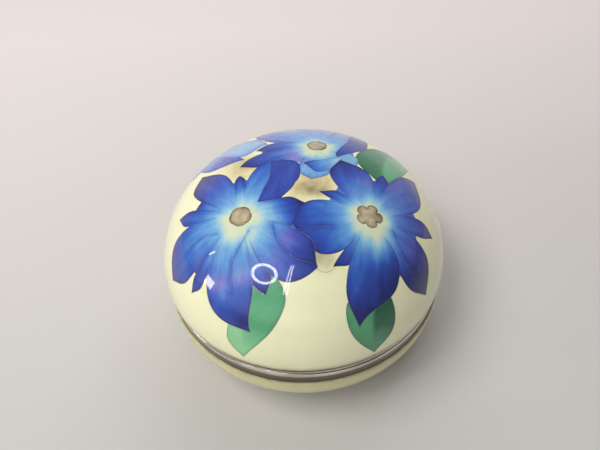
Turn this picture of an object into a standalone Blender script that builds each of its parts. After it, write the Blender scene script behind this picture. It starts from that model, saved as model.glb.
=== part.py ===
"""A round covered box of enamelled copper with silver bands, about 110 mm across.

The domed lid lifts off a shallow bowl. Each of the two is a hollow shell, and its bare
copper lip sits in a silver band. The bowl's band carries the upright flange that keeps
the lid in place. The origin is on the ground, in the middle of the foot ring, +Z is up,
and the box is round about Z, so its front is only a matter of the lid's decoration.
"""
import math

import bmesh
import bpy

MM = 0.001                   # every size below is in millimetres
SEGMENTS = 60                # sides of each turned piece

# The two enamelled shells
BODY_RADIUS = 55.0           # widest radius, of the lid and of the bowl
WALL = 2.2                   # copper with enamel on both of its faces
DOME_RISE = 38.4             # from the lid's widest ring up to its top
CROWN_POWER = 1.8            # the lower this power, the more pointed the dome
FLANK_POWER = 2.5            # the higher this power, the fuller the sides of the dome
BOWL_DEPTH = 22.7            # from the bowl's widest ring down to its underside
BELLY_POWER = 2.4            # the higher this power, the squarer the bowl
LID_TUCK = 1.0               # height over which the lid draws in to its band
BOWL_TUCK = 2.3              # height over which the bowl draws in to its band
EDGE_RADIUS = 0.7            # rounding of the enamel where it meets a band

# The bare copper lips that sit in the bands
LIP_WALL = 1.1
LIP_BLEND = 1.6              # height over which a lip swells into its shell, inside

# The silver bands
LID_BAND_HEIGHT = 3.6
BOWL_BAND_HEIGHT = 5.3
BAND_SETBACK = 0.8           # from the widest radius in to the bands' faces
BAND_WALL = 0.9
SHELF_WALL = 0.7             # the flat of a band, which closes the end of a lip
LID_BAND_SLOPE = 0.9         # how far the lid's band narrows towards its top
SHOULDER_RADIUS = 1.0        # rounding along the top of the bowl's band
FLANGE_WALL = 0.8
FLANGE_RISE = 3.6            # from the joint up to the flange's top edge

# The foot ring, formed in one with the bowl
FOOT_RADIUS = 30.5
FOOT_WIDTH = 3.2
FOOT_RISE = 1.5              # from the ground up to the middle of the underside
FOOT_EDGE = 0.5              # rounding of the foot's two lower edges
FOOT_COVE = 1.5              # hollow between the foot and the bowl

CLEARANCE = 0.3              # between pieces that touch or slide over each other

# Radii and heights that follow from the sizes above
BAND_FACE = BODY_RADIUS - BAND_SETBACK
LIP_OUTER = BAND_FACE - BAND_WALL - CLEARANCE
LIP_INNER = LIP_OUTER - LIP_WALL
FLANGE_OUTER = LIP_INNER - CLEARANCE
FLANGE_INNER = FLANGE_OUTER - FLANGE_WALL
JOINT_HEIGHT = FOOT_RISE + BOWL_DEPTH + BOWL_TUCK + BOWL_BAND_HEIGHT
HALF_JOINT = CLEARANCE / 2

# Points along each curve
DOME_STEPS = 12
BOWL_STEPS = 8
INSIDE_STEPS = 8
ROUND_STEPS = 3


def clear_scene():
    """Remove whatever the file holds, so that the box stands alone."""
    for thing in list(bpy.data.objects):
        bpy.data.objects.remove(thing, do_unlink=True)


def oval_radius(level, widest, height_power, radius_power):
    """Radius of an oval shell at a level from 0, its widest ring, to 1, its pole."""
    return widest * max(0.0, 1.0 - level ** height_power) ** (1.0 / radius_power)


def oval_level(radius, widest, height_power, radius_power):
    """The level at which an oval shell has a given radius."""
    return (1.0 - (radius / widest) ** radius_power) ** (1.0 / height_power)


def oval(widest, base, reach, powers, steps, first=0.0, last=1.0):
    """Points of an oval shell's profile between two levels, from its wide end on.

    base is the height of the widest ring, and reach is the signed height from there
    to the pole.
    """
    start = math.asin(first)
    end = math.asin(last)
    points = []
    for step in range(steps + 1):
        level = math.sin(start + (end - start) * step / steps)
        points.append((oval_radius(level, widest, *powers), base + reach * level))
    return points


def quarter_round(centre, radius_across, radius_up, start_degrees, end_degrees):
    """Points of an elliptic quarter moulding about a centre, in the order given."""
    points = []
    for step in range(ROUND_STEPS + 1):
        share = step / ROUND_STEPS
        angle = math.radians(start_degrees + (end_degrees - start_degrees) * share)
        points.append((centre[0] + radius_across * math.cos(angle),
                       centre[1] + radius_up * math.sin(angle)))
    return points


def turned(name, profile, material, height, closed):
    """Turn a profile of (radius, height) points about Z into one closed piece."""
    mesh = bpy.data.meshes.new(name)
    shape = bmesh.new()
    ring = [shape.verts.new((radius * MM, 0.0, level * MM)) for radius, level in profile]
    edges = [shape.edges.new(pair) for pair in zip(ring, ring[1:])]
    if closed:
        edges.append(shape.edges.new((ring[-1], ring[0])))
    bmesh.ops.spin(shape, geom=ring + edges, cent=(0, 0, 0), axis=(0, 0, 1),
                   angle=math.tau, steps=SEGMENTS, use_duplicate=False)
    bmesh.ops.remove_doubles(shape, verts=shape.verts, dist=MM / 1000)
    bmesh.ops.recalc_face_normals(shape, faces=shape.faces)
    shape.to_mesh(mesh)
    shape.free()
    mesh.shade_smooth()
    mesh.set_sharp_from_angle(angle=math.radians(35))
    mesh.materials.append(material)
    piece = bpy.data.objects.new(name, mesh)
    piece.location.z = height * MM
    bpy.context.scene.collection.objects.link(piece)
    return piece


def enamel():
    """Glossy opaque ivory enamel."""
    material = bpy.data.materials.new("ivory_enamel")
    material.use_nodes = True
    shader = material.node_tree.nodes["Principled BSDF"]
    shader.inputs["Base Color"].default_value = (0.76, 0.73, 0.47, 1.0)
    shader.inputs["Roughness"].default_value = 0.12
    shader.inputs["Metallic"].default_value = 0.0
    shader.inputs["Coat Weight"].default_value = 0.6
    return material


def silver():
    """Slightly dulled silver."""
    material = bpy.data.materials.new("dulled_silver")
    material.use_nodes = True
    shader = material.node_tree.nodes["Principled BSDF"]
    shader.inputs["Base Color"].default_value = (0.52, 0.49, 0.46, 1.0)
    shader.inputs["Roughness"].default_value = 0.25
    shader.inputs["Metallic"].default_value = 1.0
    return material


def lid(material):
    """The domed shell, with its lip pointing down into the lid's band."""
    powers = (CROWN_POWER, FLANK_POWER)
    seat = LID_BAND_HEIGHT + CLEARANCE
    widest = LID_BAND_HEIGHT + LID_TUCK
    lip_end = HALF_JOINT + SHELF_WALL + CLEARANCE
    outside = oval(BODY_RADIUS, widest, DOME_RISE, powers, DOME_STEPS)
    outside.reverse()
    tuck = quarter_round((BODY_RADIUS - EDGE_RADIUS, widest), EDGE_RADIUS,
                         LID_TUCK - CLEARANCE, 0, -90)
    lip = [(LIP_OUTER, seat), (LIP_OUTER, lip_end), (LIP_INNER, lip_end),
           (LIP_INNER, seat)]
    inside_base = seat + LIP_BLEND
    inside_reach = widest + DOME_RISE - WALL - inside_base
    inside = oval(BODY_RADIUS - WALL, inside_base, inside_reach, powers, INSIDE_STEPS)
    profile = outside + tuck[1:] + lip + inside
    return turned("lid", profile, material, JOINT_HEIGHT, closed=False)


def lid_band(material):
    """The lid's silver band: a sloping face, and a flat that closes the lip's end."""
    low = HALF_JOINT
    nose = (LID_BAND_HEIGHT - low) / 4
    upper = quarter_round((BAND_FACE - LID_BAND_SLOPE / 2, low + nose),
                          LID_BAND_SLOPE / 2, LID_BAND_HEIGHT - low - nose, 90, 0)
    lower = quarter_round((BAND_FACE - nose, low + nose), nose, nose, 0, -90)
    groove = BAND_FACE - BAND_WALL
    inside = [(LIP_INNER, low), (LIP_INNER, low + SHELF_WALL),
              (groove, low + SHELF_WALL), (groove, LID_BAND_HEIGHT)]
    profile = upper + lower[1:] + inside
    return turned("lid_band", profile, material, JOINT_HEIGHT, closed=True)


def bowl(material):
    """The lower shell, from its lip down to the foot ring, and hollow inside."""
    powers = (BELLY_POWER, BELLY_POWER)
    seat = -BOWL_BAND_HEIGHT - CLEARANCE
    widest = -BOWL_BAND_HEIGHT - BOWL_TUCK
    lip_end = -HALF_JOINT - SHELF_WALL - CLEARANCE
    ground = -JOINT_HEIGHT
    foot_inner = FOOT_RADIUS - FOOT_WIDTH
    cove_level = oval_level(FOOT_RADIUS + FOOT_COVE, BODY_RADIUS, *powers)
    under_level = oval_level(foot_inner, BODY_RADIUS, *powers)

    inside_base = seat - LIP_BLEND
    inside_reach = widest - BOWL_DEPTH + WALL - inside_base
    inside = oval(BODY_RADIUS - WALL, inside_base, inside_reach, powers, INSIDE_STEPS)
    inside.reverse()
    lip = [(LIP_INNER, seat), (LIP_INNER, lip_end), (LIP_OUTER, lip_end),
           (LIP_OUTER, seat)]
    tuck = quarter_round((BODY_RADIUS - EDGE_RADIUS, widest), EDGE_RADIUS,
                         BOWL_TUCK - CLEARANCE, 90, 0)
    outside = oval(BODY_RADIUS, widest, -BOWL_DEPTH, powers, BOWL_STEPS, 0.0, cove_level)
    foot = [(FOOT_RADIUS, outside[-1][1] - FOOT_COVE), (FOOT_RADIUS, ground + FOOT_EDGE),
            (FOOT_RADIUS - FOOT_EDGE, ground), (foot_inner + FOOT_EDGE, ground),
            (foot_inner, ground + FOOT_EDGE)]
    underside = oval(BODY_RADIUS, widest, -BOWL_DEPTH, powers, ROUND_STEPS, under_level)
    profile = inside + lip + tuck + outside[1:] + foot + underside
    return turned("bowl", profile, material, JOINT_HEIGHT, closed=False)


def bowl_band(material):
    """The bowl's silver band, with the flange that the lid slides down over."""
    top = -HALF_JOINT
    low = -BOWL_BAND_HEIGHT
    shoulder = quarter_round((BAND_FACE - SHOULDER_RADIUS, top - SHOULDER_RADIUS),
                             SHOULDER_RADIUS, SHOULDER_RADIUS, 90, 0)
    groove = BAND_FACE - BAND_WALL
    ledge = top - SHELF_WALL
    rest = [(BAND_FACE, low), (groove, low), (groove, ledge), (FLANGE_OUTER, ledge),
            (FLANGE_OUTER, low), (FLANGE_INNER, low), (FLANGE_INNER, FLANGE_RISE),
            (FLANGE_OUTER, FLANGE_RISE), (FLANGE_OUTER, top)]
    return turned("bowl_band", shoulder + rest, material, JOINT_HEIGHT, closed=True)


clear_scene()
ivory_enamel = enamel()
dulled_silver = silver()
lid(ivory_enamel)
lid_band(dulled_silver)
bowl(ivory_enamel)
bowl_band(dulled_silver)
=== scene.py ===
"""The round cloisonne box: an ivory lid with blue flowers, two silver bands and a bowl.

Sizes and places are in millimetres unless a name says otherwise. The flowers are laid out
on a flat chart of the lid's outside. A place on the chart is as far from its middle as the
place on the lid is from the lid's top, measured along the surface, and in the same direction.
+v on the chart is +Y, away from the camera.
"""
import math
from collections import namedtuple

import bpy
import numpy as np
from mathutils import Matrix, Vector, kdtree
from mathutils.geometry import delaunay_2d_cdt


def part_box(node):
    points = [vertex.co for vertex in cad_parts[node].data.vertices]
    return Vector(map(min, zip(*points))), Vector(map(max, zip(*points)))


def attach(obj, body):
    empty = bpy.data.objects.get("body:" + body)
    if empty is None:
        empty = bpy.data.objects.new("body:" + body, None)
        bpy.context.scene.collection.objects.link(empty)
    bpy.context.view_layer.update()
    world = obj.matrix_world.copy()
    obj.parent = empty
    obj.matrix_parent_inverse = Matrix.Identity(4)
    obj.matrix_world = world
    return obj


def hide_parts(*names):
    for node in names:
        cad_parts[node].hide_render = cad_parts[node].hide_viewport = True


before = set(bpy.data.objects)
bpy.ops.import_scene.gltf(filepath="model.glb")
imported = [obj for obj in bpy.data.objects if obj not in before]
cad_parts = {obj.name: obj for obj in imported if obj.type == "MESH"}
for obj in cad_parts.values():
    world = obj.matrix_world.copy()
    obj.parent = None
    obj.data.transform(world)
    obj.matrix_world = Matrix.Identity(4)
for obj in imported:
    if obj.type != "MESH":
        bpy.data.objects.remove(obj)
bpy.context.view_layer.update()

MM = 0.001
SEGMENTS = 360  # sides of each turned piece

# Sizes that the solids give
CLEARANCE = 0.3
HALF_JOINT = CLEARANCE / 2
lid_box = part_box("lid")
lid_band_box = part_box("lid_band")
bowl_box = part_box("bowl")
bowl_band_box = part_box("bowl_band")
BODY_RADIUS = lid_box[1].x / MM
BAND_FACE = lid_band_box[1].x / MM
JOINT_HEIGHT = lid_band_box[0].z / MM - HALF_JOINT
APEX = lid_box[1].z / MM - JOINT_HEIGHT
GROUND = bowl_box[0].z / MM - JOINT_HEIGHT
LID_BAND_HEIGHT = lid_band_box[1].z / MM - JOINT_HEIGHT
BOWL_BAND_HEIGHT = JOINT_HEIGHT - bowl_band_box[0].z / MM
FLANGE_RISE = bowl_band_box[1].z / MM - JOINT_HEIGHT

# Sizes of the shells, the same as the solids'
WALL = 2.2
CROWN_POWER = 1.8
FLANK_POWER = 2.5
BELLY_POWER = 2.4
LID_TUCK = 1.0
BOWL_TUCK = 2.3
BOWL_DEPTH = 22.7
EDGE_RADIUS = 0.7
LIP_WALL = 1.1
LIP_BLEND = 1.6
BAND_WALL = 0.9
SHELF_WALL = 0.7
LID_BAND_SLOPE = 0.9
SHOULDER_RADIUS = 1.0
FLANGE_WALL = 0.8
FOOT_RADIUS = 30.5
FOOT_WIDTH = 3.2
FOOT_EDGE = 0.5
FOOT_COVE = 1.5
LIP_OUTER = BAND_FACE - BAND_WALL - CLEARANCE
LIP_INNER = LIP_OUTER - LIP_WALL
FLANGE_OUTER = LIP_INNER - CLEARANCE
FLANGE_INNER = FLANGE_OUTER - FLANGE_WALL
LID_WIDEST = LID_BAND_HEIGHT + LID_TUCK
DOME_RISE = APEX - LID_WIDEST

# Steps along the curves, and turning marks on the silver
OVAL_STEPS = 44
ROUND_STEPS = 12
FACE_STEPS = 24  # down the face of the bowl's band
DOME_SAMPLES = 6000
CHART_STEP = 0.85  # spacing of the lid's mesh between the outlines
CLEAR_SHARE = 0.45  # of that spacing, kept clear beside the outlines
PATH_STEP = 0.6
SIDE_POINTS = 22  # points along each half of a petal's side
SHARP_ANGLE = math.radians(35)
MARKS_ROUND = 7.0
MARKS_ACROSS = 4.0

# The inlaid wires
WIRE_HALF_WIDTH = 0.1
INNER_WIRE_SHARE = 0.6  # width of the wires that have petals on both sides
WIRE_PROUD = 0.02
WIRE_DEPTH = 0.12
WIRE_SIDES = 6
WIRE_END_SHARE = 0.35  # width of a wire at its two ends
HALO_CLEAR = 5.0  # no wire is closer to a flower's heart than this
RIM_CLEAR = 1.0  # or to the edge of the chart than this
LOOK_BEYOND = 0.3  # where it is tested what lies on a wire's far side
LOOSE_CURL = ((3.6, -37.4), (6.8, -38.7), (10.2, -37.3))

Petal = namedtuple("Petal", "tip ccw cw aim spread deep flush lean root",
                   defaults=(0.0, 0.0, None))
Leaf = namedtuple("Leaf", "base tip ccw cw aim spread left right end rib")
Flower = namedtuple("Flower", "heart size lobes turn glow valleys sepals petals")
Fold = namedtuple("Fold", "sides deep flush")
Shape = namedtuple("Shape", "kind row flower outline")

# left, right and end are how dark a leaf is beside its rib and at its tip. A petal runs from
# its flower's heart to its tip, through its widest place on the counter-clockwise (ccw) and
# on the clockwise side. Its sides reach the tip at the angles aim - spread and aim + spread.
# deep is how dark its tip is, lean how much darker its ccw side is, flush how violet it is.
# glow is the shift of the pale glow from the heart's middle, and its width. valleys are the
# places between the petals up to which the middle of the flower is one piece.
BACK_BLOOM = Flower((-44, 37), 3.4, 0.1, 0, (0, 0, 7), (
    (-58, 34), (-55, 24), (-44, 18), (-30, 24), (-29, 36), (-36, 50), (-50, 50),
), (), (
    Petal((-64, 24), (-60, 33), (-54, 24), 215, 40, 0.4, 0.3),
    Petal((-44, 62), (-52, 52), (-37, 53), 90, 40, 0.4, 0.2),
    Petal((-24, 45), (-33, 49), (-30, 37), 20, 40, 0.35, 0.2),
    Petal((-20.5, 12), (-29, 24.5), (-38, 14.6), 330, 22, 0.6, 0.3),
    Petal((-12, 20.3), (-20, 30), (-22.5, 15), 325, 35, 0.24, 0.5),
))
TOP_BLOOM = Flower((6.7, 16.7), 3.6, 0.06, 20, (-0.2, -1.9, 6.2), (
    (-12.5, 6.4), (-6, 7.2), (-0.8, 6), (6, 6.4), (13, 7.8), (20, 10.4), (21, 30), (17, 37.5),
    (-2.5, 36.5), (-13.5, 24), (-9, 20.5), (-14, 14.5),
), (
    Petal((-16.3, 16.7), (-8, 14.4), (-9.5, 20.5), 180, 35, 0.9, 0.1),
), (
    Petal((3.8, -3), (10.5, 1), (-0.6, 2.8), 262, 58, 0.28, 0.1),
    Petal((20.3, 4), (20.6, 10.4), (13.5, 4.5), 300, 40, 0.22),
    Petal((27, 41), (14, 33), (21, 19), 55, 40, 0.42, 0.1),
    Petal((8, 54), (-3, 38), (17, 38), 90, 40, 0.45, 0.3),
    Petal((-15.5, 41), (-15.3, 27), (0, 37), 105, 35, 0.52, 0.3, 0.12),
    Petal((-22, 7.7), (-12, 5.8), (-14, 13.7), 200, 37, 0.88, 0.1, 0.05),
    Petal((1.25, 5.5), (7.6, 0.6), (7.5, 7.3), 185, 38, 0.66, root=(15.5, 8.8)),
))
LEFT_BLOOM = Flower((-21, -16.4), 3.9, 0.1, 50, (-0.2, -2.4, 8.4), (
    (-23.7, -0.6), (-19.1, -0.4), (-12, -6), (-6.8, -11.2), (-2, -15.5), (0, -21), (-3, -30),
    (-8, -39.3), (-12, -37.5), (-17.4, -39), (-27, -42), (-33.3, -36.8), (-40.6, -32),
    (-46, -22), (-43, -12.9), (-38.8, -6), (-34, -1),
), (
    Petal((-21.75, 2.5), (-23.4, -1.5), (-19.4, -1.5), 90, 45, 0.86),
    Petal((-48.75, -5.5), (-43.5, -12), (-41, -6.2), 154, 26, 0.82),
    Petal((-45, -37.6), (-38.5, -36.8), (-41.3, -32.4), 207, 20, 0.85, 0.05),
    Petal((-13.75, -44.75), (-11.5, -38), (-18.5, -39), 286, 34, 0.84, 0.2),
    Petal((1.25, -14), (-5.5, -11), (-4, -22.5), 7.5, 32, 0.86, 0.05),
), (
    Petal((-38.75, 12), (-40.8, 1), (-26.2, 3.3), 103.5, 37.5, 0.92, 0.15, 0.03),
    Petal((-57, -28), (-45, -32.4), (-49, -13.8), 202, 49, 0.8, 0, 0.02),
    Petal((-0.25, 5.5), (-14.5, 6.2), (-2.5, -5), 41, 54, 0.7),
    Petal((4.25, -37), (1.2, -26.5), (-10, -39.5), 346, 55.5, 0.76, 0.12),
    Petal((-21.6, -56.2), (-17.8, -39.5), (-36.7, -41), 308, 28, 0.79, 0.05),
))
RIGHT_BLOOM = Flower((22.7, -18.2), 4.4, 0.34, -6, (0, -1.4, 5.7), (
    (26.4, -1.9), (30.8, -0.6), (36, -3), (41.8, -12.9), (44, -17), (41.8, -21.2), (42, -31),
    (33.8, -38), (25, -42), (15.4, -35.6), (14.7, -30.3), (8, -29), (4, -21), (9.5, -12.6),
    (11.4, -9.2), (15, -3),
), (
    Petal((30.3, 2.5), (26, -3.5), (31.8, -4), 71, 31, 0.8),
    Petal((52.1, -17.6), (44.5, -13.4), (42.5, -20.8), -8, 30, 0.85, 0.25),
    Petal((9.35, -36.9), (16.5, -34.6), (13.5, -30.8), 219, 23, 0.85, 0.1),
    Petal((6.2, -9.1), (12.5, -13.8), (13, -9.3), 155, 22, 0.82),
), (
    Petal((-3.5, -21.5), (8.3, -32.8), (3.5, -13), 176, 58, 0.71, 0, 0.04),
    Petal((51, -40.8), (46.3, -25.3), (37, -39.3), 324, 39, 0.98, 0.15),
    Petal((46.75, 8.8), (35.5, 2.8), (43.8, -9.5), 49, 35, 0.8, 0.3),
    Petal((14.85, 7.6), (10.6, -2), (25.2, -0.4), 100, 45, 0.84, 0.12, 0.03),
    Petal((19.6, -56.4), (34, -38.5), (13.8, -42), 276, 24, 1, 0, 0.12),
))
LEAVES = (
    Leaf((-12, -34), (-28.5, -66), (-8, -49.5), (-32, -55), 256, 41, 0.54, 0.14, 0.14,
         ((-18, -42), (-21.5, -50), (-25, -57), (-28.3, -65.5))),
    Leaf((25, -38), (29.3, -66.6), (35.1, -53.5), (14, -52), 292, 45, 1, 0.58, 0.68,
         ((24.4, -42), (24.6, -50), (25.6, -57), (29, -66))),
    Leaf((30, -6), (50, 30), (21.8, 13), (44, 14), 60, 40, 0.82, 0.46, 0.6,
         ((29, -4), (31, 8), (37, 21), (49.5, 29.5))),
)

# Lines inside the petals, and how much darker the enamel is along each
CREASES = (
    (((-17.6, -21.8), (-21.5, -27.5), (-24.5, -31.5), (-25.8, -36.5), (-25.9, -42)), 0.26),
    (((-10, -21.5), (-9, -26.5), (-6.2, -31), (-2.5, -34), (2.5, -35.8)), 0.2),
    (((-29.5, -20.6), (-36, -20), (-42, -21.7)), 0.14),
    (((-2.4, -22.6), (3.5, -22.9), (10, -22.5)), 0.14),
    (((-2, -24), (4, -24.3), (9.5, -23.8)), 0.1),
    (((31, -21.5), (33, -26), (36.5, -30.5), (42, -35)), 0.14),
)
# The turned-over halves of two petals, each one even dark blue, by the sides of their outlines
LEFT_FOLD = Fold((
    ((-15, -11.9), (-13, -6.5), (-10.8, -1), (-10.2, 7.9)),
    ((-10.2, 7.9), (-4.8, 8), (-1, 6.2), (-0.3, 1), (-2.8, -6.2), (-7, -11.2)),
    ((-7, -11.2), (-11, -11.8), (-15, -11.9)),
), 0.72, 0.1)
TOP_FOLD = Fold((
    ((13.6, 9.2), (13.5, 12), (17, 18.5), (19.3, 23), (21.5, 31), (28, 43)),
    ((28, 43), (28.8, 31), (27.2, 22), (25, 17.2), (20, 13.3), (13.6, 9.2)),
), 0.76, 0)

# Soft patches of violet on the petals, of darker blue, and of ochre and grey on the ivory
# The violet patch at (-56.5, -23), on the end of the left bloom's left petal, is a painted
# reflection
VIOLET = (
    (-30.5, -38, 3.2, 0.8), (-21.5, -38, 3, 0.8), (-5, -27.5, 3.2, 0.5), (-9, -34, 3.2, 0.3),
    (-38, -28, 3.2, 0.3), (-56.5, -23, 2.8, 0.8), (-37, 8, 5.5, 0.45), (-34, 3, 3, 0.25),
    (23, -3, 2.5, 0.5), (35, -1.5, 4, 0.4), (40, -27, 4, 0.5), (-2, 9.6, 3.8, 0.95),
    (-30, 17, 5, 0.35), (47, -17, 5, 0.3),
)
DEEPER = (
    (46, -36, 8, 0.22), (30, -40, 6, 0.16), (12, -27, 5, -0.05), (-24, -52, 6, 0.14),
    (-22, -36, 6, -0.08), (0.2, 9, 2.4, 0.16), (6, -29, 5, 0.1), (1, -35, 5, 0.1),
    (-2, -15, 4, 0.12), (27.5, -28.5, 5, -0.18), (-28, -40, 5, -0.1), (-38, -19, 5, -0.1),
    (-51, -19, 4, 0.12), (-38, -5.5, 2.6, 0.18), (-7.5, -21, 4, -0.1),
)
OCHRE = (
    (3, -3, 6.5, 0.8), (8, -6, 6, 0.7), (-20, 6.5, 7, 1), (-2, -9, 5, 0.5), (-28, 11, 5, 0.35),
    (6, -34, 4, 0.3),
)
BROWN = ((25.9, -17.5, 1.9, 0.75), (-19.5, -14.2, 1.6, 0.25), (9, 14.5, 1.5, 0.4))
SMOKE = ((3, -7.5, 3.6, 0.8), (7, -8.5, 2.6, 0.45), (6, -34, 3.8, 0.6), (-18, 8.5, 4, 0.4))

# How much darker the silver and the bowl are made, by height from the joint: painted shade, a
# painted highlight and a painted dark reflection, partly tarnish and grime
# Lid band: painted shade at the joint and under the lid's overhanging edge, partly tarnish,
# paler between
LID_BAND_SHADE_AND_TARNISH = ((0.15, 1), (0.95, 0.95), (1.2, 0.25), (1.9, 0.15), (2.25, 0.9), (3.6, 1))
# Bowl band: painted shade at the joint, a clear stretch under it as a painted highlight line,
# and a darker lower face as a painted dark reflection, partly tarnish
BOWL_BAND_SHADE_AND_TARNISH = ((-5.3, 1), (-4.9, 0.9), (-3, 0.82), (-1.9, 0.78), (-1.55, 0.1),
                    (-0.5, 0), (-0.3, 0.7), (-0.15, 1))
# Bowl: painted shade under the band and at the foot, partly grime
BOWL_SHADE_AND_GRIME = ((-30.5, 0.25), (-28, 0.1), (-24, 0), (-8, 0), (-6.2, 0.25), (-5.6, 0.7))


def polar(radius, angle):
    """Places at a radius and an angle from the middle, one to a row."""
    return np.stack([radius * np.cos(angle), radius * np.sin(angle)], 1)


TURN = polar(1.0, np.linspace(0, math.tau, SEGMENTS, endpoint=False))


def heading(degrees):
    return np.array([math.cos(math.radians(degrees)), math.sin(math.radians(degrees))])


def cubic(controls, count):
    """Points of a Bezier curve, from its start up to, not at, its end."""
    share = (np.arange(count) / count)[:, None]
    one, two, three, four = controls
    return (one * (1 - share) ** 3 + two * 3 * share * (1 - share) ** 2
            + three * 3 * share ** 2 * (1 - share) + four * share ** 3)


# How far the handles of a petal's curves reach at its root, its widest place and its tip
ROOT_PULL = 0.35
RUN_PULL = 0.42
TIP_PULL = 0.36


def petal_side(root, widest, tip, run, arrival):
    """One side of a petal, from its root through its widest place up to its tip."""
    lower = math.dist(root, widest)
    upper = math.dist(widest, tip)
    first = (root, root + ROOT_PULL * (widest - root), widest - RUN_PULL * lower * run, widest)
    second = (widest, widest + RUN_PULL * upper * run, tip - TIP_PULL * upper * arrival, tip)
    return np.concatenate([cubic(first, SIDE_POINTS), cubic(second, SIDE_POINTS)])


def petal_outline(root, row):
    """A petal's or leaf's whole outline, counter-clockwise, starting at its root."""
    root, tip, clockwise, counter = np.array([root, row.tip, row.cw, row.ccw], float)
    run = (tip - root) / math.dist(root, tip)
    there = petal_side(root, clockwise, tip, run, heading(row.aim + row.spread))
    back = petal_side(root, counter, tip, run, heading(row.aim - row.spread))
    return np.concatenate([there, [tip], back[:0:-1]])


HEART_POINTS = 60
HEART_LOBES = 5
LOBE_POWER = 0.55  # the lower this power, the fuller the lobes
LOBE_MIDDLE = 0.75
HEART_OVAL = 0.04


def heart_outline(flower):
    """The rounded, slightly lobed outline of a flower's heart."""
    angle = np.linspace(0, math.tau, HEART_POINTS, endpoint=False)
    turn = math.radians(flower.turn)
    lobe = np.abs(np.cos(HEART_LOBES / 2 * (angle - turn))) ** LOBE_POWER - LOBE_MIDDLE
    radius = flower.size * (1 + flower.lobes * lobe + HEART_OVAL * np.cos(2 * angle + turn))
    return np.array(flower.heart) + polar(radius, angle)


def fold_outline(fold):
    """A turned-over half's outline, with a corner where two of its sides meet."""
    return np.concatenate([smooth_path(side)[:-1] for side in fold.sides])


def smooth_path(points):
    """A smooth curve through the points, as closely spaced points."""
    knots = np.array(points, float)
    ends = np.concatenate([[2 * knots[0] - knots[1]], knots, [2 * knots[-1] - knots[-2]]])
    path = []
    for index in range(1, len(ends) - 2):
        before, start, end, after = ends[index - 1:index + 3]
        count = max(2, int(np.linalg.norm(end - start) / PATH_STEP))
        controls = (start, start + (end - before) / 6, end - (after - start) / 6, end)
        path.append(cubic(controls, count))
    return np.concatenate(path + [knots[-1:]])


def inside(points, outline):
    """Which of the points lie inside a closed outline."""
    near = np.flatnonzero(((points > outline.min(0)) & (points < outline.max(0))).all(1))
    u, v = points[near].T
    odd = np.zeros(len(near), bool)
    for (u0, v0), (u1, v1) in zip(outline, np.roll(outline, -1, 0)):
        if v0 != v1:
            crosses = (v0 > v) != (v1 > v)
            odd ^= crosses & (u < (u1 - u0) * (v - v0) / (v1 - v0) + u0)
    found = np.zeros(len(points), bool)
    found[near[odd]] = True
    return found


def nearness(points, path, closed=False):
    """Distance of each point to a path, and whether it is to the right of the path there."""
    starts = path if closed else path[:-1]
    ends = np.roll(path, -1, 0) if closed else path[1:]
    best = np.full(len(points), np.inf)
    right = np.zeros(len(points), bool)
    for start, end in zip(starts, ends):
        along = end - start
        away = points - start
        share = np.clip(away @ along / max(along @ along, 1e-12), 0, 1)
        distance = np.linalg.norm(away - share[:, None] * along, axis=1)
        closer = distance < best
        best[closer] = distance[closer]
        right[closer] = (along[0] * away[:, 1] < along[1] * away[:, 0])[closer]
    return best, right


def washed(points, washes):
    """The sum of soft round patches at each point."""
    total = np.zeros(len(points))
    for u, v, radius, amount in washes:
        distance = np.hypot(points[:, 0] - u, points[:, 1] - v)
        total += amount * np.exp(-(distance / radius) ** 2)
    return total


def oval(widest, base, reach, powers, first=0.0, last=1.0, steps=OVAL_STEPS):
    """An oval shell's profile between two levels, from its wide end on."""
    level = np.sin(np.linspace(math.asin(first), math.asin(last), steps + 1))
    radius = widest * np.maximum(0, 1 - level ** powers[0]) ** (1 / powers[1])
    return list(zip(radius, base + reach * level))


def oval_level(radius, widest, powers):
    """The level at which an oval shell has a given radius."""
    return (1.0 - (radius / widest) ** powers[1]) ** (1.0 / powers[0])


def quarter_round(centre, across, up, start_degrees, end_degrees):
    """An elliptic quarter moulding about a centre, in the order given."""
    angle = np.radians(np.linspace(start_degrees, end_degrees, ROUND_STEPS + 1))
    return list(zip(centre[0] + across * np.cos(angle), centre[1] + up * np.sin(angle)))


# The lid's outside as a curve from its top down to its widest ring
dome_level = np.cos(np.linspace(0, math.pi / 2, DOME_SAMPLES))
dome_radius = BODY_RADIUS * (1 - dome_level ** CROWN_POWER) ** (1 / FLANK_POWER)
dome_height = LID_WIDEST + DOME_RISE * dome_level
dome_steps = np.hypot(np.diff(dome_radius), np.diff(dome_height))
dome_arc = np.concatenate([[0], np.cumsum(dome_steps)])
CHART_RADIUS = dome_arc[-1]


def on_dome(places):
    """Points of the lid's outside, relative to the joint, and its normals there."""
    reach = np.hypot(*places.T)
    angle = np.arctan2(places[:, 1], places[:, 0])
    radius = np.interp(reach, dome_arc, dome_radius)
    height = np.interp(reach, dome_arc, dome_height)
    level = (height - LID_WIDEST) / DOME_RISE
    outward = FLANK_POWER / BODY_RADIUS * (radius / BODY_RADIUS) ** (FLANK_POWER - 1)
    upward = CROWN_POWER / DOME_RISE * np.maximum(level, 0) ** (CROWN_POWER - 1)
    normals = np.column_stack([polar(outward, angle), upward])
    normals /= np.hypot(outward, upward)[:, None]
    return np.column_stack([polar(radius, angle), height]), normals


def skin(rings):
    """The faces between each ring and the next, triangles where one ring is a pole."""
    faces = []
    for upper, lower in zip(rings, rings[1:]):
        for index in range(len(lower)):
            after = (index + 1) % len(lower)
            corners = (upper[index], lower[index], lower[after], upper[after])
            faces.append(tuple(dict.fromkeys(corners)))
    return faces


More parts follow.
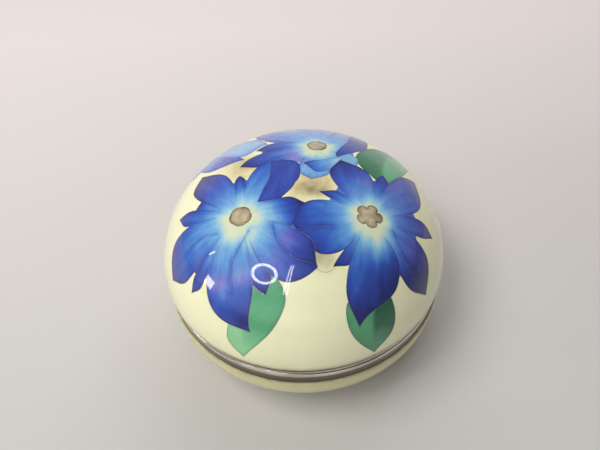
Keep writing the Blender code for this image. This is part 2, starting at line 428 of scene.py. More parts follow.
def revolve(profile, closed, first_index=0):
    """Vertices and faces of a profile turned about Z, with one vertex at a pole."""
    vertices = []
    rings = []
    for radius, height in profile:
        start = first_index + len(vertices)
        if radius < 1e-6:
            rings.append([start] * SEGMENTS)
            vertices.append((0.0, 0.0, height))
        else:
            rings.append(list(range(start, start + SEGMENTS)))
            vertices.extend((radius * c, radius * s, height) for c, s in TURN)
    return vertices, skin(rings + rings[:1] if closed else rings)


def stand(name, data):
    """A new object in the scene."""
    thing = bpy.data.objects.new(name, data)
    bpy.context.scene.collection.objects.link(thing)
    return thing


def new_piece(name, vertices, faces, materials, face_materials=None):
    """A smooth-shaded piece at the joint's height, given in millimetres."""
    mesh = bpy.data.meshes.new(name)
    placed = (np.array(vertices) + (0, 0, JOINT_HEIGHT)) * MM
    mesh.from_pydata(placed.tolist(), [], faces)
    for material in materials:
        mesh.materials.append(material)
    if face_materials is not None:
        mesh.polygons.foreach_set("material_index", face_materials)
    mesh.shade_smooth()
    mesh.set_sharp_from_angle(angle=SHARP_ANGLE)
    mesh.update()
    return stand(name, mesh)


def put_attribute(mesh, name, values, domain):
    """Give each corner or point of a mesh a number, or a vector, for the materials."""
    kind, field = ("FLOAT_VECTOR", "vector") if values.ndim == 2 else ("FLOAT", "value")
    attribute = mesh.attributes.new(name, kind, domain)
    attribute.data.foreach_set(field, values.astype(np.float32).ravel())


def linear(*display):
    """A display colour of 0 to 255 as the linear colour that a shader takes."""
    shares = [part / 255 for part in display]
    parts = [share / 12.92 if share < 0.04 else ((share + 0.055) / 1.055) ** 2.4
             for share in shares]
    return (*parts, 1.0)


class Tree:
    """The nodes of a material or world, with short calls. Colours are display colours."""

    def __init__(self, name, owners=bpy.data.materials, end="Principled BSDF"):
        self.owner = owners.new(name)
        self.owner.use_nodes = True
        self.nodes = self.owner.node_tree.nodes
        self.links = self.owner.node_tree.links
        self.end = self.nodes[end]

    def add(self, kind, output, inputs=(), **settings):
        """One output of a new node."""
        node = self.nodes.new("ShaderNode" + kind)
        for key, value in settings.items():
            setattr(node, key, value)
        for key, value in dict(inputs).items():
            self.put(node.inputs[key], value)
        return node.outputs[output]

    def put(self, socket, value):
        if isinstance(value, bpy.types.NodeSocket):
            self.links.new(value, socket)
        else:
            socket.default_value = linear(*value) if socket.type == "RGBA" else value

    def attribute(self, name, output="Fac"):
        return self.add("Attribute", output, attribute_name=name)

    def place(self, output="Object"):
        return self.add("TexCoord", output)

    def noise(self, vector, scale, detail, rough=0.5):
        return self.add("TexNoise", "Fac", {"Vector": vector, "Scale": scale, "Detail": detail,
                                            "Roughness": rough})

    def math(self, operation, first, second, clamp=False):
        return self.add("Math", 0, {0: first, 1: second}, operation=operation, use_clamp=clamp)

    def spread(self, value, low, high, to_low=0.0, to_high=1.0, kind="LINEAR"):
        return self.add("MapRange", "Result",
                        {"Value": value, "From Min": low, "From Max": high,
                         "To Min": to_low, "To Max": to_high}, interpolation_type=kind)

    def mix(self, factor, first, second):
        return self.add("Mix", 2, {0: factor, 6: first, 7: second}, data_type="RGBA")

    def ramp(self, factor, stops):
        node = self.nodes.new("ShaderNodeValToRGB")
        self.put(node.inputs["Fac"], factor)
        elements = node.color_ramp.elements
        for index, (position, colour) in enumerate(stops):
            element = elements[index] if index < 2 else elements.new(position)
            element.position = position
            element.color = linear(*colour)
        return node.outputs["Color"]

    def bump(self, height, strength, distance):
        inputs = {"Height": height, "Strength": strength, "Distance": distance}
        return self.add("Bump", "Normal", inputs)

    def finish(self, **values):
        for name, value in values.items():
            self.put(self.end.inputs[name.replace("_", " ")], value)
        return self.owner


def glaze(tree, colour):
    """Finish a tree as glossy enamel under a clear polished surface."""
    ripple = tree.bump(tree.noise(tree.place(), 260.0, 1.0), 0.05, 0.0003)
    return tree.finish(Base_Color=colour, Roughness=0.3, Specular_IOR_Level=0.25, IOR=1.5,
                       Coat_Weight=0.8, Coat_Roughness=0.03, Coat_IOR=1.5, Normal=ripple)


LID_IVORY = ((0.25, (226, 226, 184)), (0.5, (231, 231, 192)), (0.8, (233, 229, 190)))
# The bowl's ivory is the lid's made darker and yellower as a painted shade; it is the same
# enamel
SHADED_BOWL_IVORY = ((0.25, (203, 198, 146)), (0.5, (209, 204, 155)), (0.8, (211, 202, 153)))


def ivory_enamel(name, stops):
    """Opaque ivory, with a faint cloudiness, fine specks, ochre and grey stains, and painted
    shade along its seams and the bowl's foot, partly grime.
    """
    tree = Tree(name)
    place = tree.place()
    colour = tree.ramp(tree.noise(place, 70.0, 3.0), stops)
    speck = tree.spread(tree.noise(place, 1500.0, 2.0), 0.62, 0.8, 0.0, 0.25)
    colour = tree.mix(speck, colour, (214, 208, 164))
    wander = tree.spread(tree.noise(place, 240.0, 3.0), 0.3, 0.7, 0.6, 1.15)
    # The second colour darkens the enamel with grey stains and grime, and with painted shade at
    # the seams and the bowl's foot
    for attribute, stain in (("ochre", (196, 176, 128)), ("grime_and_shade", (118, 104, 84))):
        amount = tree.math("MULTIPLY", tree.attribute(attribute), wander, True)
        colour = tree.mix(amount, colour, stain)
    return glaze(tree, colour)


BLUE_STOPS = (
    (0.00, (204, 210, 180)), (0.07, (186, 204, 184)), (0.14, (160, 195, 202)),
    (0.22, (132, 181, 208)), (0.33, (99, 151, 204)), (0.45, (73, 124, 193)),
    (0.58, (52, 95, 182)), (0.72, (44, 72, 160)), (0.86, (39, 56, 137)), (1.00, (32, 42, 104)),
)
VIOLET_STOPS = (
    (0.00, (222, 212, 200)), (0.22, (172, 170, 212)), (0.45, (128, 120, 196)),
    (0.65, (98, 84, 162)), (0.82, (72, 62, 134)), (1.00, (46, 40, 92)),
)
GREEN_STOPS = (
    (0.0, (158, 208, 152)), (0.25, (118, 186, 136)), (0.5, (88, 162, 118)),
    (0.75, (66, 130, 94)), (1.0, (38, 92, 68)),
)


def strokes_and_cloud(tree, scale):
    strokes = tree.noise(tree.attribute("strokes", "Vector"), 1.0, 3.0, 0.6)
    return strokes, tree.noise(tree.place(), scale, 2.0)


def shaded(tree, painted, streak, cloud):
    """The painted depth, varied by streaks and by a soft cloud."""
    depth = tree.math("ADD", painted, streak)
    return tree.math("ADD", depth, tree.spread(cloud, 0, 1, -0.1, 0.1), True)


def petal_enamel():
    """Blue enamel shaded from the flower's heart out, in fine strokes along the petal."""
    tree = Tree("petal_enamel")
    strokes, cloud = strokes_and_cloud(tree, 160.0)
    painted = tree.attribute("depth")
    reach = tree.spread(painted, 0, 0.6, 0.14, 0.34)
    streak = tree.math("MULTIPLY", tree.math("SUBTRACT", strokes, 0.5), reach)
    depth = shaded(tree, painted, streak, cloud)
    patch = tree.spread(cloud, 0.3, 0.7, 0.7, 1.3)
    flush = tree.math("MULTIPLY", tree.attribute("flush"), patch, True)
    blue = tree.ramp(depth, BLUE_STOPS)
    return glaze(tree, tree.mix(flush, blue, tree.ramp(depth, VIOLET_STOPS)))


def leaf_enamel():
    """Green enamel in soft strokes across the leaf from its rib."""
    tree = Tree("leaf_enamel")
    strokes, cloud = strokes_and_cloud(tree, 120.0)
    streak = tree.spread(strokes, 0, 1, -0.1, 0.1)
    depth = shaded(tree, tree.attribute("depth"), streak, cloud)
    return glaze(tree, tree.ramp(depth, GREEN_STOPS))


def heart_enamel():
    """Beige enamel, freckled, inside a brown rim."""
    tree = Tree("heart_enamel")
    place = tree.place()
    freckle = tree.noise(place, 700.0, 2.0)
    colour = tree.ramp(freckle, ((0.3, (158, 146, 118)), (0.7, (188, 177, 150))))
    patch = tree.spread(tree.noise(place, 330.0, 2.0), 0.35, 0.65, 0.6, 1.3)
    rim = tree.math("MULTIPLY", tree.attribute("rim"), patch, True)
    return glaze(tree, tree.mix(rim, colour, (94, 82, 50)))


SILVER_STOPS = ((0.3, (208, 198, 182)), (0.55, (228, 220, 206)), (0.75, (240, 235, 224)))


def silver():
    """Polished silver gone warm and grey, with fine turning marks, darker stains in patches,
    and painted shade, a painted highlight line and a painted dark reflection by height.
    """
    tree = Tree("tarnished_silver_and_painted_shade")
    grain = tree.noise(tree.attribute("grain", "Vector"), 1.0, 4.0, 0.65)
    stain = tree.noise(tree.place(), 90.0, 4.0, 0.6)
    colour = tree.ramp(stain, SILVER_STOPS)
    colour = tree.mix(tree.spread(grain, 0.5, 0.8, 0.0, 0.4), colour, (140, 124, 112))
    # Darkened by height: painted shade and a painted dark reflection, partly tarnish, with a
    # painted highlight line left clear
    colour = tree.mix(tree.attribute("grime_and_shade"), colour, (58, 50, 36))
    return tree.finish(Base_Color=colour, Metallic=1.0,
                       Roughness=tree.spread(stain, 0.3, 0.7, 0.24, 0.16),
                       Normal=tree.bump(grain, 0.12, 0.0001))


def dull_metal(name, scale, detail, dark, light, roughness):
    """Metal mottled between two colours."""
    tree = Tree(name)
    colour = tree.ramp(tree.noise(tree.place(), scale, detail), ((0.3, dark), (0.7, light)))
    return tree.finish(Base_Color=colour, Metallic=1.0, Roughness=roughness)


def pale_floor():
    """A plain floor, paler behind the box."""
    tree = Tree("pale_floor")
    place = tree.place()
    cloud = tree.noise(place, 3.0, 2.0)
    colour = tree.ramp(cloud, ((0.3, (182, 181, 178)), (0.7, (188, 187, 184))))
    behind = tree.add("SeparateXYZ", "Y", {0: place})
    colour = tree.mix(tree.spread(behind, -0.1, 0.25), colour, (220, 212, 210))
    return tree.finish(Base_Color=colour, Roughness=0.7)


# What a shape is. The first five are also the places of the lid's materials
IVORY, PETAL, LEAF, HEART, COPPER, CENTRE, FOLDED = range(7)


def shapes_from_back_to_front():
    """Every leaf, petal and heart, in the order in which they cover each other."""
    shapes = [Shape(LEAF, leaf, None, petal_outline(leaf.base, leaf)) for leaf in LEAVES]

    def lay_sepals(flower):
        shapes.append(Shape(CENTRE, flower, flower, np.array(flower.valleys, float)))
        lay(flower, flower.sepals)

    def lay(flower, rows):
        for row in rows:
            outline = petal_outline(row.root or flower.heart, row)
            shapes.append(Shape(PETAL, row, flower, outline))

    lay_sepals(BACK_BLOOM)
    lay(BACK_BLOOM, BACK_BLOOM.petals)
    lay_sepals(TOP_BLOOM)
    lay(TOP_BLOOM, TOP_BLOOM.petals)
    shapes.append(Shape(FOLDED, TOP_FOLD, TOP_BLOOM, fold_outline(TOP_FOLD)))
    lay_sepals(LEFT_BLOOM)
    lay_sepals(RIGHT_BLOOM)
    lay(RIGHT_BLOOM, RIGHT_BLOOM.petals)
    lay(LEFT_BLOOM, LEFT_BLOOM.petals)
    shapes.append(Shape(FOLDED, LEFT_FOLD, LEFT_BLOOM, fold_outline(LEFT_FOLD)))
    for flower in (BACK_BLOOM, TOP_BLOOM, LEFT_BLOOM, RIGHT_BLOOM):
        shapes.append(Shape(HEART, flower, flower, heart_outline(flower)))
    return shapes


def chart_mesh(shapes, ribs):
    """Triangles over the whole chart that follow every outline and rib."""
    lines = [(CHART_RADIUS * TURN, True)]
    lines += [(shape.outline, True) for shape in shapes]
    lines += [(rib, False) for rib in ribs]
    drawn = np.concatenate([line for line, _ in lines])
    edges = []
    count = 0
    for line, closed in lines:
        index = list(range(count, count + len(line)))
        pairs = list(zip(index, index[1:] + index[:1]))
        edges += pairs if closed else pairs[:-1]
        count += len(line)
    tree = kdtree.KDTree(len(drawn))
    for index, (u, v) in enumerate(drawn):
        tree.insert((u, v, 0), index)
    tree.balance()
    row_step = CHART_STEP * math.sqrt(0.75)
    rows = int(CHART_RADIUS / row_step) + 1
    grid = []
    for row in range(-rows, rows + 1):
        for column in range(-rows, rows + 1):
            u = column * CHART_STEP + row % 2 * CHART_STEP / 2
            v = row * row_step
            if math.hypot(u, v) > CHART_RADIUS - CHART_STEP / 2:
                continue
            if tree.find((u, v, 0))[2] > CLEAR_SHARE * CHART_STEP:
                grid.append((u, v))
    every = np.concatenate([drawn, grid])
    made = delaunay_2d_cdt([Vector(place) for place in every], edges, [], 1, 1e-5, False)
    places = np.array([(place.x, place.y) for place in made[0]])
    triangles = np.array(made[2])
    one, two, three = [places[triangles[:, corner]] for corner in range(3)]
    first = (two - one).T
    second = (three - one).T
    turn = first[0] * second[1] - first[1] * second[0]
    triangles[turn < 0] = triangles[turn < 0][:, ::-1]
    return places, triangles[np.abs(turn) > 1e-9]


# How the enamel darkens from a flower's heart out, in depth from 0 to 1 and in millimetres
HALO_START = -0.4  # from the edge of the heart to the start of the pale halo
HALO_DEPTH = 0.32  # at the outer end of the halo
HALO_OVERLAP = 1.0  # by which the rest of the petal begins inside the halo
HALO_WAVES = (0.6, 0.3)  # height of the five broad and the eleven fine waves round it
REST_POWER = 0.8  # below 1, so that a petal darkens fastest near the halo
CURL_PALEST = 0.14  # at the root of a curled petal
CURL_POWER = 1.3
CENTRE_LENGTH = 30.0  # the middle of a flower is shaded like a petal of this length
CENTRE_DEEP = 0.76
LEAN_WIDTH = 8.0  # from the petal's middle line to where it leans in full
EDGE_DEEPER = 0.16  # along a petal's edge
EDGE_REACH = 1.0
EDGE_START = 4.0  # from the heart to where the edge begins to darken
EDGE_RISE = 8.0
CREASE_REACH = 0.6
FLUSH_GAIN = 1.4  # how much faster than the depth the violet comes in
# Strokes: how many lie across a petal, how long they are, and where they run together
STROKES_ACROSS = 11.0
STROKE_STRETCH = 0.1
STROKE_ROOT = 4.0
FOLD_STROKES = 0.6
FOLD_SEED = 3.0


def beside(run, away):
    return run[0] * away[:, 1] - run[1] * away[:, 0]


def petal_depth(points, shape):
    """How dark each point of a petal is, its distance from the root, and its side."""
    row = shape.row
    heart = np.array(shape.flower.heart)
    start = shape.flower.size
    glow = heart + shape.flower.glow[:2]
    width = shape.flower.glow[2]
    if shape.kind == CENTRE:
        root = heart
        tip = root + (0, -CENTRE_LENGTH)
        deep = CENTRE_DEEP
    else:
        root = np.array(row.root or heart)
        tip = np.array(row.tip)
        deep = row.deep
    away = points - glow
    reach = np.hypot(*away.T)
    angle = np.arctan2(away[:, 1], away[:, 0])
    reach += HALO_WAVES[0] * np.sin(5 * angle + start) + HALO_WAVES[1] * np.sin(11 * angle)
    halo = np.clip((reach - start - HALO_START) / width, 0, 1)
    halo = halo * halo * (3 - 2 * halo)
    rest = (reach - start - width + HALO_OVERLAP) / (math.dist(glow, tip) - start - width)
    rest = np.clip(rest, 0, 1) ** REST_POWER
    depth = HALO_DEPTH * halo + (deep - HALO_DEPTH) * rest
    away = points - root
    reach = np.hypot(*away.T)
    length = math.dist(root, tip)
    lateral = beside((tip - root) / length, away)
    if shape.kind == PETAL:
        if row.root:
            share = np.clip(reach / length, 0, 1) ** CURL_POWER
            depth = CURL_PALEST + (deep - CURL_PALEST) * share
        depth += row.lean * np.clip(lateral / LEAN_WIDTH, -1, 1) * halo
        edge, _ = nearness(points, shape.outline, closed=True)
        outer = np.clip((reach - start - EDGE_START) / EDGE_RISE, 0, 1)
        depth += EDGE_DEEPER * np.exp(-edge / EDGE_REACH) * outer
    return depth, reach, lateral


def fold_values(points, shape):
    """Values for the corners of a turned-over half."""
    start, end = np.array(shape.row.sides[0])[[0, -1]]
    run = (end - start) / math.dist(start, end)
    across = beside(run, points - start) * FOLD_STROKES
    along = (points - start) @ run * STROKE_STRETCH
    edge, _ = nearness(points, shape.outline, closed=True)
    return {"depth": shape.row.deep + EDGE_DEEPER / 2 * np.exp(-edge / EDGE_REACH),
            "flush": shape.row.flush,
            "strokes": np.stack(np.broadcast_arrays(across, along, FOLD_SEED), 1)}


def petal_values(points, shape):
    """Values for the corners of one petal, or of a flower's middle."""
    depth, reach, lateral = petal_depth(points, shape)
    for path, shade in CREASES:
        distance, _ = nearness(points, np.array(path))
        depth += shade * np.exp(-distance / CREASE_REACH)
    depth += washed(points, DEEPER)
    petal = shape.kind == PETAL
    flush = (shape.row.flush if petal else 0.0) * np.clip(depth * FLUSH_GAIN, 0, 1)
    across = lateral * STROKES_ACROSS / (reach + STROKE_ROOT)
    seed = sum(shape.row.tip) if petal else shape.outline[0].sum()
    strokes = np.stack(np.broadcast_arrays(across, reach * STROKE_STRETCH, seed), 1)
    return {"depth": depth, "flush": np.clip(flush + washed(points, VIOLET), 0, 1),
            "strokes": strokes}


# The leaves
RIB_BLEND = 2.0  # width over which one half's green passes into the other's
TIP_START = 0.6  # share of the leaf's length at which its tip begins
TIP_BLEND = 0.25
LEAF_EDGE_DEEPER = 0.12
LEAF_EDGE_REACH = 0.8
LEAF_STROKES = (0.9, 0.12, 3.0)  # strokes along the leaf, across it, and from half to half


def leaf_values(points, shape):
    """Values for the corners of one leaf."""
    leaf = shape.row
    distance, right = nearness(points, smooth_path(leaf.rib))
    share = np.clip(np.where(right, distance, -distance) / RIB_BLEND + 0.5, 0, 1)
    depth = leaf.left + (leaf.right - leaf.left) * share
    run = np.array(leaf.tip) - leaf.base
    length = np.linalg.norm(run)
    along = (points - leaf.base) @ (run / length)
    depth += (leaf.end - depth) * np.clip((along / length - TIP_START) / TIP_BLEND, 0, 1)
    edge, _ = nearness(points, shape.outline, closed=True)
    depth += LEAF_EDGE_DEEPER * np.exp(-edge / LEAF_EDGE_REACH)
    strokes = np.stack([along + distance, distance, share], 1) * LEAF_STROKES
    return {"depth": depth, "strokes": strokes}


HEART_RIM = 0.65  # width of the brown rim of a heart
SEAM_REACH = 0.6  # width of the painted shade along the lid's edge above the band, partly grime
# how dark that painted shade is at the lid's edge
SEAM_SHADE = 0.8


def heart_values(points, shape):
    """Values for the corners of one heart."""
    edge, _ = nearness(points, shape.outline, closed=True)
    return {"rim": np.exp(-(edge / HEART_RIM) ** 2) + washed(points, BROWN)}


def lid_decoration(places, triangles, shapes):
    """Material of each triangle, and the values that its corners give the materials."""
    middle = places[triangles].mean(1)
    top = np.full(len(triangles), -1)
    for index, shape in enumerate(shapes):
        top[inside(middle, shape.outline)] = index
    corners = places[triangles].reshape(-1, 2)
    values = {name: np.zeros(len(corners)) for name in ("depth", "flush", "rim")}
    values["strokes"] = np.zeros((len(corners), 3))
    kinds = np.zeros(len(triangles), int)
    painters = {FOLDED: fold_values, LEAF: leaf_values, HEART: heart_values}
    for index in np.unique(top[top >= 0]):
        shape = shapes[index]
        faces = np.flatnonzero(top == index)
        kinds[faces] = PETAL if shape.kind in (CENTRE, FOLDED) else shape.kind
        loops = (faces[:, None] * 3 + np.arange(3)).ravel()
        painted = painters.get(shape.kind, petal_values)(corners[loops], shape)
        for name, part in painted.items():
            values[name][loops] = part
    values["ochre"] = np.clip(washed(corners, OCHRE), 0, 1)
    near_rim = np.exp((np.hypot(*corners.T) - CHART_RADIUS) / SEAM_REACH)
    # Grey stains on the ivory, and painted shade along the lid's edge above the band
    values["grime_and_shade"] = np.clip(washed(corners, SMOKE) + SEAM_SHADE * near_rim, 0, 1)
    return kinds, values


def build_lid(materials, shapes):
    """The lid: its decorated outside from the chart, and the rest turned."""
    places, triangles = chart_mesh(shapes, [smooth_path(leaf.rib) for leaf in LEAVES])
    kinds, values = lid_decoration(places, triangles, shapes)
    points, normals = on_dome(places)
    rim = np.flatnonzero(np.hypot(*places.T) > CHART_RADIUS - 1e-4)
    angle = np.arctan2(places[rim, 1], places[rim, 0]) % math.tau
    rim_ring = rim[np.argsort(np.round(angle, 6) % round(math.tau, 6))].tolist()

    seat = LID_BAND_HEIGHT + CLEARANCE
    lip_end = HALF_JOINT + SHELF_WALL + CLEARANCE
    tuck = quarter_round((BODY_RADIUS - EDGE_RADIUS, LID_WIDEST), EDGE_RADIUS,
                         LID_TUCK - CLEARANCE, 0, -90)[1:]
    lip = [(LIP_OUTER, seat), (LIP_OUTER, lip_end), (LIP_INNER, lip_end), (LIP_INNER, seat)]
    base = seat + LIP_BLEND
    within = oval(BODY_RADIUS - WALL, base, APEX - WALL - base, (CROWN_POWER, FLANK_POWER))
    vertices, faces = revolve(tuck + lip + within, False, len(points))
    first_ring = list(range(len(points), len(points) + SEGMENTS))
    turned_faces = skin([rim_ring, first_ring]) + faces
    face_materials = np.concatenate([kinds, np.full(len(turned_faces), IVORY)])
    lip_start = len(triangles) + SEGMENTS * len(tuck)
    face_materials[lip_start:lip_start + SEGMENTS * len(lip)] = COPPER
    piece = new_piece("lid_dressed", np.concatenate([points, vertices]),
                      triangles.tolist() + turned_faces, materials, face_materials)

    mesh = piece.data
    decorated = triangles.size
    for name, part in values.items():
        padding = np.zeros((len(mesh.loops) - decorated,) + part.shape[1:])
        put_attribute(mesh, name, np.concatenate([part, padding]), "CORNER")
    corner_normals = np.zeros(len(mesh.loops) * 3)
    mesh.corner_normals.foreach_get("vector", corner_normals)
    corner_normals = corner_normals.reshape(-1, 3)
    corner_normals[:decorated] = normals[triangles.ravel()]
    mesh.normals_split_custom_set(corner_normals.tolist())
    return piece


def visible_runs(shapes):
    """The stretches of every outline that no later shape covers, with each one's width."""
    runs = []
    for index, shape in enumerate(shapes):
        if shape.kind == HEART:
            continue
        outline = shape.outline
        following = np.roll(outline, -1, 0)
        middle = (outline + following) / 2
        ahead = following - outline
        outward = np.stack([ahead[:, 1], -ahead[:, 0]], 1)
        outward /= np.linalg.norm(outward, axis=1)[:, None]
        beyond = middle + outward * LOOK_BEYOND
        seen = np.hypot(*middle.T) < CHART_RADIUS - RIM_CLEAR
        inner = np.zeros(len(outline), bool)
        for earlier in shapes[:index]:
            if earlier.kind != LEAF:
                inner |= inside(beyond, earlier.outline)
        for later in shapes[index + 1:]:
            seen &= ~inside(middle, later.outline)
            inner |= inside(beyond, later.outline)
        if shape.kind in (PETAL, CENTRE):
            clear = shape.flower.size + HALO_CLEAR
            seen &= np.linalg.norm(middle - shape.flower.heart, axis=1) > clear
        if shape.kind == CENTRE:
            seen &= ~inner
        width = np.where(inner, INNER_WIRE_SHARE, 1.0)
        first = 0 if seen.all() else int(np.flatnonzero(~seen)[0])
        order = np.roll(np.arange(len(outline)), -first - 1)
        changes = np.flatnonzero(np.diff(np.concatenate([[0], seen[order], [0]])))
        for start, end in changes.reshape(-1, 2):
            at = order[start:end]
            path = np.concatenate([outline[at], following[at[-1:]]])
            runs.append(np.column_stack([path, width[at[[0]].tolist() + at.tolist()]]))
    return [run for run in runs if len(run) > 2]


def clear_runs(shapes):
    """The part of the ribs that no petal covers, in the two leaves that have a wire there."""
    runs = []
    for leaf in LEAVES[1:]:
        path = smooth_path(leaf.rib)[:-1]
        covered = np.zeros(len(path), bool)
        for shape in shapes:
            if shape.kind != LEAF:
                covered |= inside(path, shape.outline)
        runs.append(path[~covered])
    return runs


def wire_tube(path, first_index):
    """Vertices and faces of one closed flat tube along a path of places and widths."""
    points, normals = on_dome(path[:, :2])
    ahead = np.gradient(points, axis=0)
    ahead /= np.linalg.norm(ahead, axis=1)[:, None]
    across = np.cross(ahead, normals)
    taper = path[:, 2:].copy()
    taper[[0, -1]] *= WIRE_END_SHARE
    lines = []
    for side in range(WIRE_SIDES):
        angle = math.tau * side / WIRE_SIDES
        rise = math.sin(angle)
        rise *= WIRE_PROUD if rise > 0 else WIRE_DEPTH
        offset = across * math.cos(angle) * WIRE_HALF_WIDTH * taper
        lines.append(points + offset + normals * rise)
    starts = range(first_index, first_index + len(points) * WIRE_SIDES, WIRE_SIDES)
    rings = [list(range(start, start + WIRE_SIDES)) for start in starts]
    faces = skin(rings) + [tuple(rings[0]), tuple(rings[-1][::-1])]
    return np.stack(lines, 1).reshape(-1, 3), faces


def build_wires(material, shapes):
    """The wires along the outlines, the creases, the ribs and one loose curl."""
    inner = [smooth_path(path) for path in (*[path for path, _ in CREASES], LOOSE_CURL)]
    paths = visible_runs(shapes)
    paths += [np.column_stack([path, np.full(len(path), INNER_WIRE_SHARE)])
              for path in inner + clear_runs(shapes)]
    vertices = []
    faces = []
    for path in paths:
        points, sides = wire_tube(path, len(vertices))
        vertices.extend(points)
        faces += sides
    vertices = np.array(vertices)
    vertices[:, 2] = np.minimum(vertices[:, 2], APEX)
    return new_piece("lid_wires", vertices, faces, [material])


def turned(name, profile, closed, material, grime_and_shade_by_height):
    """A finely turned piece, darkened by height as the pairs of height and amount say: painted
    shade, and on the silver a painted highlight line and a painted dark reflection, partly
    grime and tarnish.
    """
    vertices, faces = revolve(profile, closed)
    piece = new_piece(name, vertices, faces, [material])
    x, y, height = np.array(vertices).T
    rings = (height - np.hypot(x, y)) * MARKS_ACROSS
    grain = np.column_stack([polar(MARKS_ROUND, np.arctan2(y, x)), rings])
    put_attribute(piece.data, "grain", grain, "POINT")
    put_attribute(piece.data, "grime_and_shade", np.interp(height, *zip(*grime_and_shade_by_height)), "POINT")
    return piece


def lid_band_profile():
    low = HALF_JOINT
    nose = (LID_BAND_HEIGHT - low) / 4
    upper = quarter_round((BAND_FACE - LID_BAND_SLOPE / 2, low + nose),
                          LID_BAND_SLOPE / 2, LID_BAND_HEIGHT - low - nose, 90, 0)
    lower = quarter_round((BAND_FACE - nose, low + nose), nose, nose, 0, -90)
    groove = BAND_FACE - BAND_WALL
    return upper + lower[1:] + [(LIP_INNER, low), (LIP_INNER, low + SHELF_WALL),
                                (groove, low + SHELF_WALL), (groove, LID_BAND_HEIGHT)]


def bowl_profile():
    powers = (BELLY_POWER, BELLY_POWER)
    seat = -BOWL_BAND_HEIGHT - CLEARANCE
    widest = -BOWL_BAND_HEIGHT - BOWL_TUCK
    lip_end = -HALF_JOINT - SHELF_WALL - CLEARANCE
    foot_inner = FOOT_RADIUS - FOOT_WIDTH
    cove_level = oval_level(FOOT_RADIUS + FOOT_COVE, BODY_RADIUS, powers)
    under_level = oval_level(foot_inner, BODY_RADIUS, powers)
    base = seat - LIP_BLEND
    within = oval(BODY_RADIUS - WALL, base, widest - BOWL_DEPTH + WALL - base, powers)
    lip = [(LIP_INNER, seat), (LIP_INNER, lip_end), (LIP_OUTER, lip_end), (LIP_OUTER, seat)]
    tuck = quarter_round((BODY_RADIUS - EDGE_RADIUS, widest), EDGE_RADIUS,
                         BOWL_TUCK - CLEARANCE, 90, 0)
    outside = oval(BODY_RADIUS, widest, -BOWL_DEPTH, powers, last=cove_level)
    cove = quarter_round((FOOT_RADIUS + FOOT_COVE, outside[-1][1] - FOOT_COVE),
                         FOOT_COVE, FOOT_COVE, 90, 180)
    edge = GROUND + FOOT_EDGE
    outer_edge = quarter_round((FOOT_RADIUS - FOOT_EDGE, edge), FOOT_EDGE, FOOT_EDGE, 0, -90)
    inner_edge = quarter_round((foot_inner + FOOT_EDGE, edge), FOOT_EDGE, FOOT_EDGE, -90, -180)
    under = oval(BODY_RADIUS, widest, -BOWL_DEPTH, powers, under_level, steps=OVAL_STEPS // 2)
    return (within[::-1] + lip + tuck + outside[1:] + cove[1:] + outer_edge + inner_edge
            + under)


def bowl_band_profile():
    top = -HALF_JOINT
    low = -BOWL_BAND_HEIGHT
    face_top = top - SHOULDER_RADIUS
    shoulder = quarter_round((BAND_FACE - SHOULDER_RADIUS, face_top),
                             SHOULDER_RADIUS, SHOULDER_RADIUS, 90, 0)
    face = [(BAND_FACE, height) for height in np.linspace(face_top, low, FACE_STEPS + 1)[1:]]
    groove = BAND_FACE - BAND_WALL
    ledge = top - SHELF_WALL
    return shoulder + face + [
        (groove, low), (groove, ledge), (FLANGE_OUTER, ledge), (FLANGE_OUTER, low),
        (FLANGE_INNER, low), (FLANGE_INNER, FLANGE_RISE), (FLANGE_OUTER, FLANGE_RISE),
        (FLANGE_OUTER, top)]


PITCH = math.radians(47.0)  # how far the camera looks down
ROLL = math.radians(2.57)
SENSOR_WIDTH = 36.0
LENS = 528.5 / 600 * SENSOR_WIDTH  # 528.5 is the focal length in the photo's pixels
CAMERA_PLACE = (-0.935, -139.15, 165.8)  # from the middle of the joint


def add_camera():
    """The camera at the photograph's viewing angle."""
    forward = Vector((0, math.cos(PITCH), -math.sin(PITCH)))
    level = Vector((1, 0, 0))
    upright = Vector((0, math.sin(PITCH), math.cos(PITCH)))
    right = level * math.cos(ROLL) - upright * math.sin(ROLL)
    up = level * math.sin(ROLL) + upright * math.cos(ROLL)
    place = (Vector(CAMERA_PLACE) + Vector((0, 0, JOINT_HEIGHT))) * MM
    camera = bpy.data.cameras.new("camera")
    camera.sensor_width = SENSOR_WIDTH
    camera.lens = LENS
    holder = stand("camera", camera)
    holder.matrix_world = Matrix((*zip(right, up, -forward, place), (0, 0, 0, 1)))
    bpy.context.scene.camera = holder


# The lamps: place, target, size, watts and, where it isn't white, colour. A lamp with one size
# is round. The two large ones aren't seen in the gloss
BOX_MIDDLE = (0, 0, 0.045)
LAMP_TARGET = (-0.012, -0.037, 0.065)
STRIP = (0.013, 0.45)
LAMPS = {
    "key": ((-0.44, -0.12, 0.89), BOX_MIDDLE, (0.5,), 4.95, (1, 0.99, 0.95), False),
    "back_wash": ((0.1, 1.1, 0.9), (0, 0.8, 0), (1.6, 0.8), 11.0, (1, 0.98, 0.97), False),
    "strip_lamp": ((-0.190, -0.545, 0.775), LAMP_TARGET, STRIP, 0.34),
    "strip_lamp_2": ((-0.158, -0.545, 0.775), LAMP_TARGET, STRIP, 0.34),
    "window_lamp": ((-0.892, -0.231, 0.234), LAMP_TARGET, (0.125, 0.126), 0.9,
                    (1, 0.88, 0.84)),
    "short_lamp": ((-0.828, 0.007, 0.48), LAMP_TARGET, (0.02, 0.1), 0.11),
}
RING_LAMPS = 32
RING_PLACE = (-0.417, -0.43, 0.766)
RING_RADIUS = 0.132


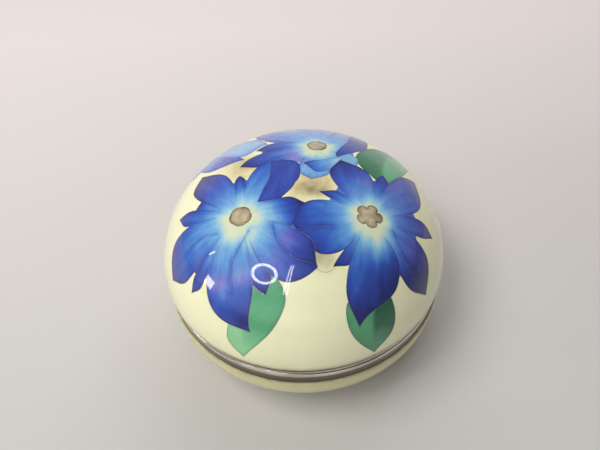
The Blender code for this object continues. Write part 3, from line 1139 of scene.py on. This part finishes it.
def add_lamp(name, place, target, size, watts, colour=(1, 1, 1), glossy=True):
    lamp = bpy.data.lights.new(name, "AREA")
    lamp.shape = "DISK" if len(size) == 1 else "RECTANGLE"
    lamp.size = size[0]
    lamp.size_y = size[-1]
    lamp.energy = watts
    lamp.color = colour
    holder = stand(name, lamp)
    holder.location = place
    holder.rotation_euler = (Vector(target) - Vector(place)).to_track_quat("-Z", "Y").to_euler()
    holder.visible_glossy = glossy


def add_ring():
    """A ring of small round lamps facing the box."""
    aim = Vector(LAMP_TARGET) - Vector(RING_PLACE)
    across = aim.cross((0, 0, 1)).normalized()
    above = across.cross(aim).normalized()
    for index in range(RING_LAMPS):
        angle = math.tau * index / RING_LAMPS
        offset = (across * math.cos(angle) + above * math.sin(angle)) * RING_RADIUS
        place = Vector(RING_PLACE) + offset
        add_lamp("ring_lamp_%02d" % index, place, LAMP_TARGET, (0.042,), 0.062)


SOFT_LIGHT = 0.18
# Glows in the soft light: how strong each is, and the directions between which it rises
GLOWS = (
    (0.66, (((0, 1, 0), 0.4, 1.0), ((0, 0, 1), 0.55, 0.0))),
    (0.9, (((-0.3, -0.95, 0), 0.5, 0.9), ((0, 0, 1), 0.06, 0.24), ((0, 0, 1), 0.6, 0.36))),
)


def add_world():
    """Even soft light with a broad glow behind the box and a smaller one before it."""
    tree = Tree("studio", bpy.data.worlds, "Background")
    direction = tree.place("Generated")
    total = SOFT_LIGHT
    for share, fades in GLOWS:
        for axis, low, high in fades:
            along = tree.add("VectorMath", "Value", {0: direction, 1: axis},
                             operation="DOT_PRODUCT")
            fade = tree.spread(along, low, high, kind="SMOOTHSTEP")
            share = tree.math("MULTIPLY", fade, share)
        total = tree.math("ADD", share, total)
    tree.end.inputs["Color"].default_value = (0.99, 0.98, 0.97, 1.0)
    bpy.context.scene.world = tree.finish(Strength=total)


FLOOR_REACH = 2.0


def add_studio():
    """Soft light, lamps and the floor."""
    bpy.context.scene.view_settings.view_transform = "Standard"
    add_world()
    for name, row in LAMPS.items():
        add_lamp(name, *row)
    add_ring()
    mesh = bpy.data.meshes.new("floor")
    corners = [(x * FLOOR_REACH, y * FLOOR_REACH, 0)
               for x, y in ((-1, -1), (1, -1), (1, 1), (-1, 1))]
    mesh.from_pydata(corners, [], [(0, 1, 2, 3)])
    mesh.materials.append(pale_floor())
    stand("floor", mesh)


lid_ivory = ivory_enamel("lid_ivory", LID_IVORY)
shaded_bowl_ivory = ivory_enamel("shaded_bowl_ivory", SHADED_BOWL_IVORY)
metal = silver()
# Dull copper for the lips that the bands hide, and silver wires dulled to a brownish grey
copper = dull_metal("bare_copper", 200.0, 3.0, (132, 78, 54), (178, 112, 80), 0.45)
wire_silver = dull_metal("wire_silver", 300.0, 2.0, (122, 104, 104), (160, 140, 134), 0.35)
all_shapes = shapes_from_back_to_front()
lid = build_lid([lid_ivory, petal_enamel(), leaf_enamel(), heart_enamel(), copper], all_shapes)
wires = build_wires(wire_silver, all_shapes)
lid_band = turned("lid_band_dressed", lid_band_profile(), True, metal, LID_BAND_SHADE_AND_TARNISH)
bowl = turned("bowl_dressed", bowl_profile(), False, shaded_bowl_ivory, BOWL_SHADE_AND_GRIME)
bowl_band = turned("bowl_band_dressed", bowl_band_profile(), True, metal, BOWL_BAND_SHADE_AND_TARNISH)

for piece, node, slot in ((lid, "lid", "enamel"), (lid_band, "lid_band", "silver"),
                          (bowl, "bowl", "enamel"), (bowl_band, "bowl_band", "silver")):
    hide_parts(node)
    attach(piece, "root")
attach(wires, "root")

add_camera()
add_studio()
